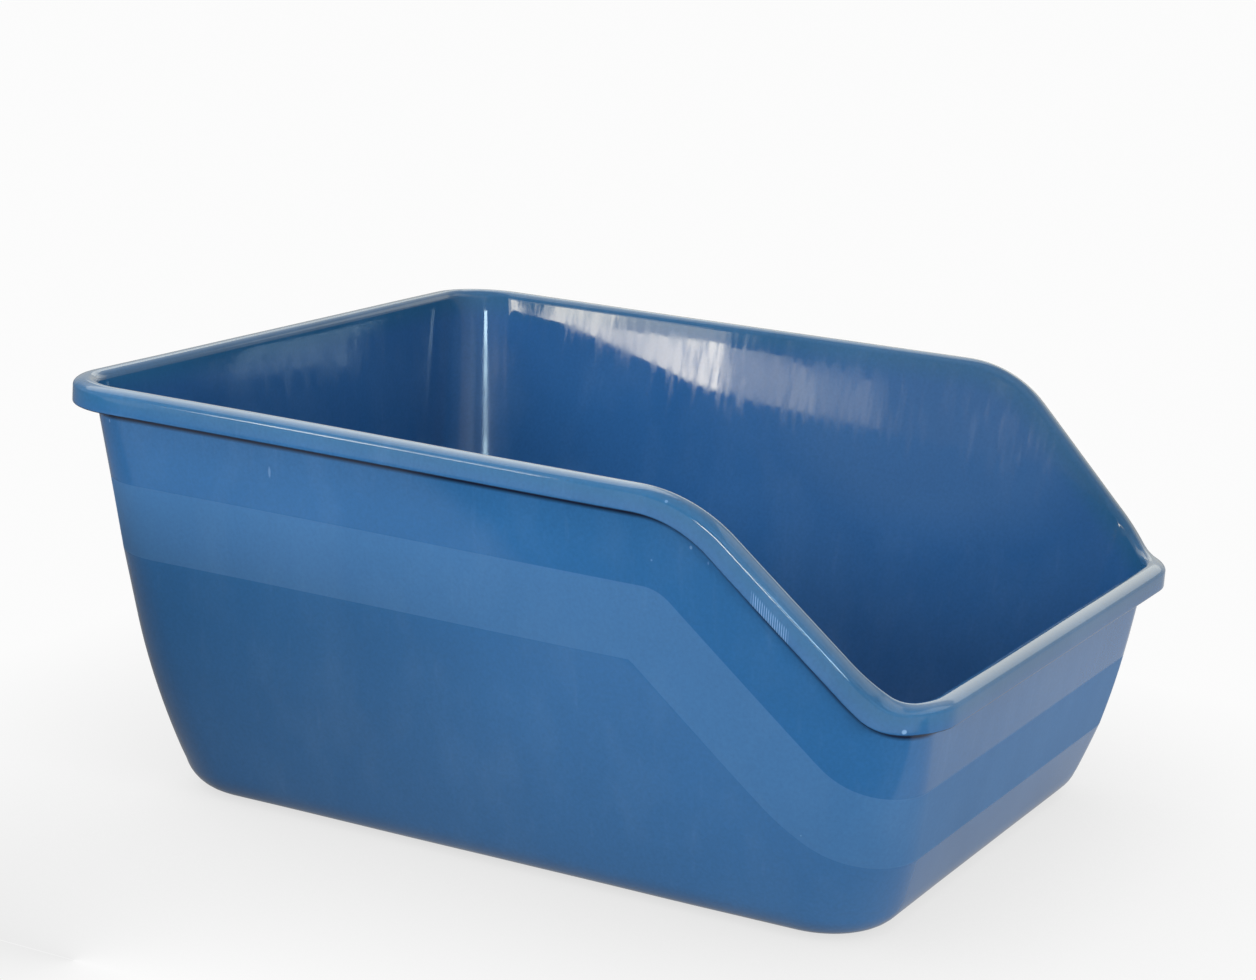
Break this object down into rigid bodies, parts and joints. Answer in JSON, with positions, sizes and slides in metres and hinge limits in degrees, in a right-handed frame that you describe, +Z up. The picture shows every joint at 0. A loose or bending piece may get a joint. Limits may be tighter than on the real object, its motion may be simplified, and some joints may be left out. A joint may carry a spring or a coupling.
{
  "type": "high-sided litter pan",
  "caption": "Open high-sided tray with a low entry at one end, sloping side rims, a turned-down rim skirt and tapered walls on a flat base.",
  "frame": {"origin": "on the ground, under the middle of the pan's box", "axes": "+X to the pan's side, its mirror plane is X = 0; +Y to the high rear wall, so the low entry faces -Y; +Z up out of the open top"},
  "size_m": [0.46, 0.5, 0.23],
  "materials": {
    "blue_plastic": "glossy moulded polypropylene, medium blue, with a satin band round the outside of the wall"
  },
  "bodies": {
    "root": {"litter_pan": "blue_plastic"}
  },
  "joints": []
}
